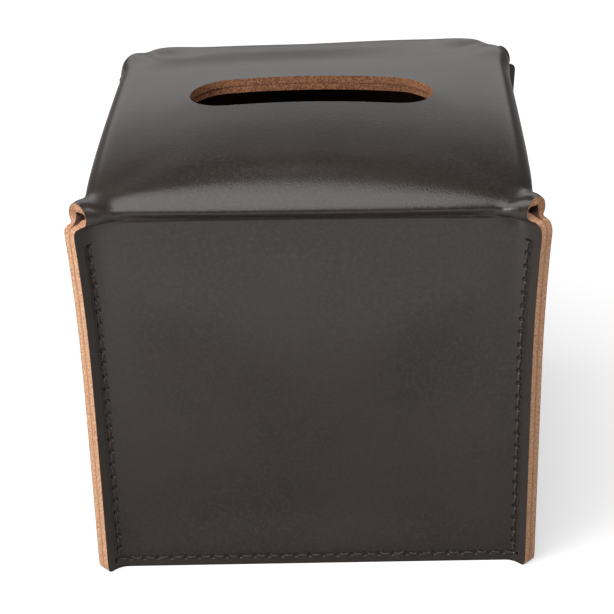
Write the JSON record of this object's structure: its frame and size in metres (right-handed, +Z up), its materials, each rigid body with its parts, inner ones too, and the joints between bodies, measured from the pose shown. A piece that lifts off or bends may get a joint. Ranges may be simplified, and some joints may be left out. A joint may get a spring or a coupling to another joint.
{
  "type": "leather tissue box cover",
  "caption": "Square leather cover for a tissue pack: pinched, stitched corner seams, pillow-shaped top with an oblong slot, and a snap-closed base flap.",
  "frame": {"origin": "centre of the footprint, on the surface the box stands on", "axes": "+Z up; -Y is the front, the side with the stitched lower edge and the base flap's hinge; +X to the right seen from the front"},
  "size_m": [0.1452, 0.1452, 0.1388],
  "materials": {
    "cover_leather": "smooth satin dark brown leather with raw tan cut edges",
    "lining_leather": "flesh side of the leather",
    "base_leather": "smooth satin dark brown leather",
    "thread": "waxed dark brown thread",
    "snap_metal": "darkened brass"
  },
  "bodies": {
    "box": {"cover": "cover_leather", "slot_reinforcement": "lining_leather", "base_flap_hem": "base_leather", "rear_closing_strip": "base_leather", "snap_studs": "snap_metal", "snap_eyelets": "snap_metal", "front_right_seam_thread": "thread", "rear_right_seam_thread": "thread", "rear_left_seam_thread": "thread", "front_left_seam_thread": "thread", "front_hem_thread": "thread", "rear_hem_thread": "thread"},
    "flap": {"base_flap": "base_leather", "snap_caps": "snap_metal", "snap_sockets": "snap_metal"}
  },
  "joints": [
    {"name": "base_flap_hinge", "type": "hinge", "parent": "box", "child": "flap", "pos_m": [0, -0.0608, 0.0052], "axis": [1, 0, 0], "range_deg": [-90, 0]}
  ]
}
